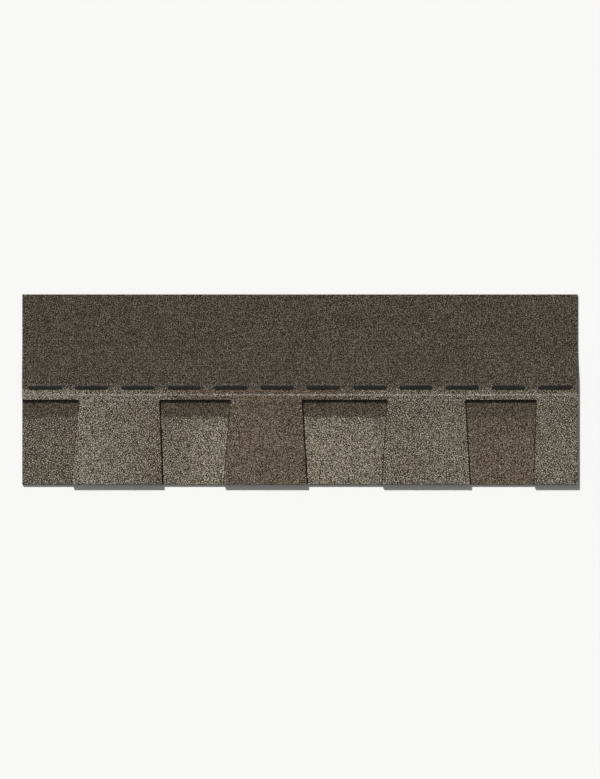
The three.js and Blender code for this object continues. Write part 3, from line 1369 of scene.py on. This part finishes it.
@dataclass(frozen=True)
class Studio:
    """A pale floor, a soft key light low on the upper left, an even sky, and a camera looking down."""

    key_towards: tuple[float, float, float] = (-0.8, 1.8, 1.0)  # the direction to the key light
    key_share: float = 0.8  # the key light's share of the light on a level surface
    key_size: float = math.radians(4)  # how wide the key light looks, which softens its shadows
    lens: float = 85.0  # the camera's focal length in millimetres
    sensor: float = 36.0  # the long side of the camera's picture in millimetres
    picture: tuple[int, int] = (600, 779)  # its width and height
    fill: float = 0.925  # the share of the picture's width that the shingle takes
    floor: FloorPaint = FloorPaint()  # the floor's finish, whose colour the camera also sees past the floor
    floor_side: float = 14.0
    floor_gap: float = 0.1 * MM  # how far it lies under the shingle, so that they don't share a plane

    def build(self, low: Vector, high: Vector) -> None:
        """Builds the stage round the object.

        Args:
            low: The object's lowest corner.
            high: The object's highest corner.
        """
        self._lay_floor()
        self._hang_key()
        self._paint_sky()
        self._hang_camera((low + high) / 2, high.x - low.x)

    def _lay_floor(self) -> None:
        """Lays the floor."""
        bpy.ops.object.select_all(action="DESELECT")
        bpy.ops.mesh.primitive_plane_add(size=self.floor_side, location=-UP * self.floor_gap)
        floor = bpy.context.object
        floor.name = "studio_floor"
        bpy.ops.object.transform_apply()
        wear(floor, self.floor.material())
        floor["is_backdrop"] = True
        LOG.info("studio_floor: %.0f m wide", self.floor_side)

    def _hang_key(self) -> None:
        """Adds the key light. With the sky, it lights a level surface at a strength of 1."""
        towards = Vector(self.key_towards).normalized()
        lamp = bpy.data.lights.new("key_light", "SUN")
        lamp.angle = self.key_size
        lamp.energy = self.key_share * math.pi / towards.z
        key = bpy.data.objects.new("key_light", lamp)
        key.rotation_euler = towards.to_track_quat("Z", "Y").to_euler()
        bpy.context.scene.collection.objects.link(key)
        LOG.info("key_light: %.2f of the light", self.key_share)

    def _paint_sky(self) -> None:
        """Adds the sky, which the camera and reflections see as a wall in the floor's colour."""
        world = bpy.data.worlds.new("even_sky")
        world.use_nodes = True
        world.node_tree.nodes.clear()
        add = partial(add_node, world.node_tree)
        white = (1.0, 1.0, 1.0, 1.0)
        sky = add("ShaderNodeBackground", {"Color": white, "Strength": 1 - self.key_share})
        wall = add("ShaderNodeBackground", {"Color": linear(self.floor.paint), "Strength": 1.0})
        rays = add("ShaderNodeLightPath").outputs
        seen = rays["Is Camera Ray"]
        for other in ("Is Glossy Ray", "Is Transmission Ray"):
            seen = add("ShaderNodeMath", {0: seen, 1: rays[other]}, operation="MAXIMUM")
        both = add("ShaderNodeMixShader", {0: seen, 1: sky, 2: wall})
        add("ShaderNodeOutputWorld", {"Surface": both})
        bpy.context.scene.world = world

    def _hang_camera(self, middle: Vector, width: float) -> None:
        """Hangs the camera straight above the middle of the shingle.

        Args:
            middle: The shingle's middle.
            width: The shingle's length, which runs across the picture.
        """
        across, tall = self.picture
        seen = self.sensor * across / tall
        camera = bpy.data.cameras.new("camera")
        camera.lens = self.lens
        camera.sensor_width = self.sensor
        holder = bpy.data.objects.new("camera", camera)
        holder.location = (middle.x, middle.y, self.lens * width / self.fill / seen)
        bpy.context.scene.collection.objects.link(holder)
        bpy.context.scene.camera = holder
        LOG.info("camera: %.2f m up", holder.location.z)


# ---- The whole ----


@dataclass(frozen=True)
class Levels:
    """The levels across the shingle that its finishes keep to, as y."""

    slot_top: float  # the tops of the slots
    nail_line: float  # the middle of the painted nail line
    plain_from: float  # where the coloured blends end, under the sealant
    backer_top: float  # the backer strip's upper edge

    COMMON_BOND: ClassVar = 28 * MM  # how far the backer strip reaches past the slots
    SLOT_TO_LINE: ClassVar = 9 * MM
    PLAIN_UNDER_SEALANT: ClassVar = 3 * MM

    @classmethod
    def of_frame(cls) -> Levels:
        """Reads the levels off the CAD nodes.

        Returns:
            The levels.
        """
        backer_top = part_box("backer_strip")[1].y
        slot_top = backer_top - cls.COMMON_BOND
        sealant = sum(corner.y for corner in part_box("sealant_dash_01")) / 2
        return cls(slot_top, slot_top + cls.SLOT_TO_LINE, sealant - cls.PLAIN_UNDER_SEALANT, backer_top)


TOOTH_DROPS = (
    Drop(0.1, "d8d0c2", 1.0),
    Drop(0.17, "c2bbad", 1.0),
    Drop(0.25, "b1a596", 1.0),
    Drop(0.33, "b0a192", 0.1),
    Drop(0.54, "a59585", 0.1),
    Drop(0.64, "b3a99b", 1.0),
    Drop(0.8, "b9b4a5", 1.0),
    Drop(1.0, "b5ae9f", 1.0),
)
BACKER_DROPS = (
    Drop(0.07, "a49b8c", 1.0),
    Drop(0.17, "a39587", 1.0),
    Drop(0.27, "bab0a1", 1.0),
    Drop(0.34, "d7cfbe", 1.0),
    Drop(0.54, "d9d1bf", 0.9),
    Drop(0.62, "cfc7b8", 0.9),
    Drop(0.74, "a99a8b", 0.1),
    Drop(1.0, "a89989", 0.1),
)


def clear_start() -> None:
    """Deletes what a new file holds."""
    for thing in list(bpy.data.objects):
        bpy.data.objects.remove(thing)


def build_sheets(nodes: dict[str, Object]) -> None:
    """Builds the two coated sheets with their granules.

    Args:
        nodes: The CAD nodes.
    """
    low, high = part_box("tooth_sheet")
    levels = Levels.of_frame()
    edge, back = CutEdge().material(), SandedBack().material()
    tooth_blend = GranuleBlend(
        TOOTH_DROPS,
        high.x - low.x,
        plain_from=levels.plain_from,
        slot_top=levels.slot_top,
        top_shade=0.88,
        fade=70 * MM,
        nail_line=levels.nail_line,
    )
    backer_blend = replace(
        tooth_blend,
        drops=BACKER_DROPS,
        plain_from=levels.backer_top,
        top_shade=0.74,
        fade=90 * MM,
        band_depth=31 * MM,
        nail_line=None,
    )
    tooth_look, backer_look = (
        SheetLook(
            PressedGranules(f"{name}_granules", blend).material(),
            GranuleFines(f"{name}_fines", blend).material(),
            edge,
            back,
        )
        for name, blend in (("tooth_sheet", tooth_blend), ("backer_strip", backer_blend))
    )
    mill = GranuleMill()
    chips = mill.build()
    teeth = ToothSheet(
        node="tooth_sheet",
        slot=Slot.SHEET,
        look=tooth_look,
        slot_top=levels.slot_top,
        backer_top=levels.backer_top,
    )
    teeth.build(nodes["tooth_sheet"], chips)
    backer = BackerStrip(
        node="backer_strip",
        slot=Slot.BACKER,
        look=backer_look,
        slot_top=levels.slot_top,
        teeth=teeth.core,
    )
    backer.build(nodes["backer_strip"], chips)
    mill.clear(chips)


def dress_frame(nodes: dict[str, Object]) -> None:
    """Dresses the CAD nodes whose shape is right.

    Args:
        nodes: The CAD nodes.
    """
    glue = PouredAsphalt("poured_laminating_asphalt", roughness=0.5).material()
    for kind, material in (("bead", glue), ("film", CoatedFilm().material())):
        for node in (node for name, node in nodes.items() if kind in name):
            wear(node, material)
            report(node)


def main() -> None:
    """Builds the shingle's looks and the studio, piece by piece."""
    logging.basicConfig(level=logging.INFO, format="%(name)s: %(message)s")
    clear_start()
    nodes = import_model()["nodes"]
    cad_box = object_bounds()
    bpy.context.scene.view_settings.view_transform = "Standard"
    Studio().build(*cad_box)
    build_sheets(nodes)
    dashes = tuple(sorted(name for name in nodes if name.startswith("sealant_dash_")))
    SealantRow(dashes).build(PouredAsphalt("poured_sealant_asphalt", roughness=0.32).material())
    dress_frame(nodes)
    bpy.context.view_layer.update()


if __name__ == "__main__":
    main()
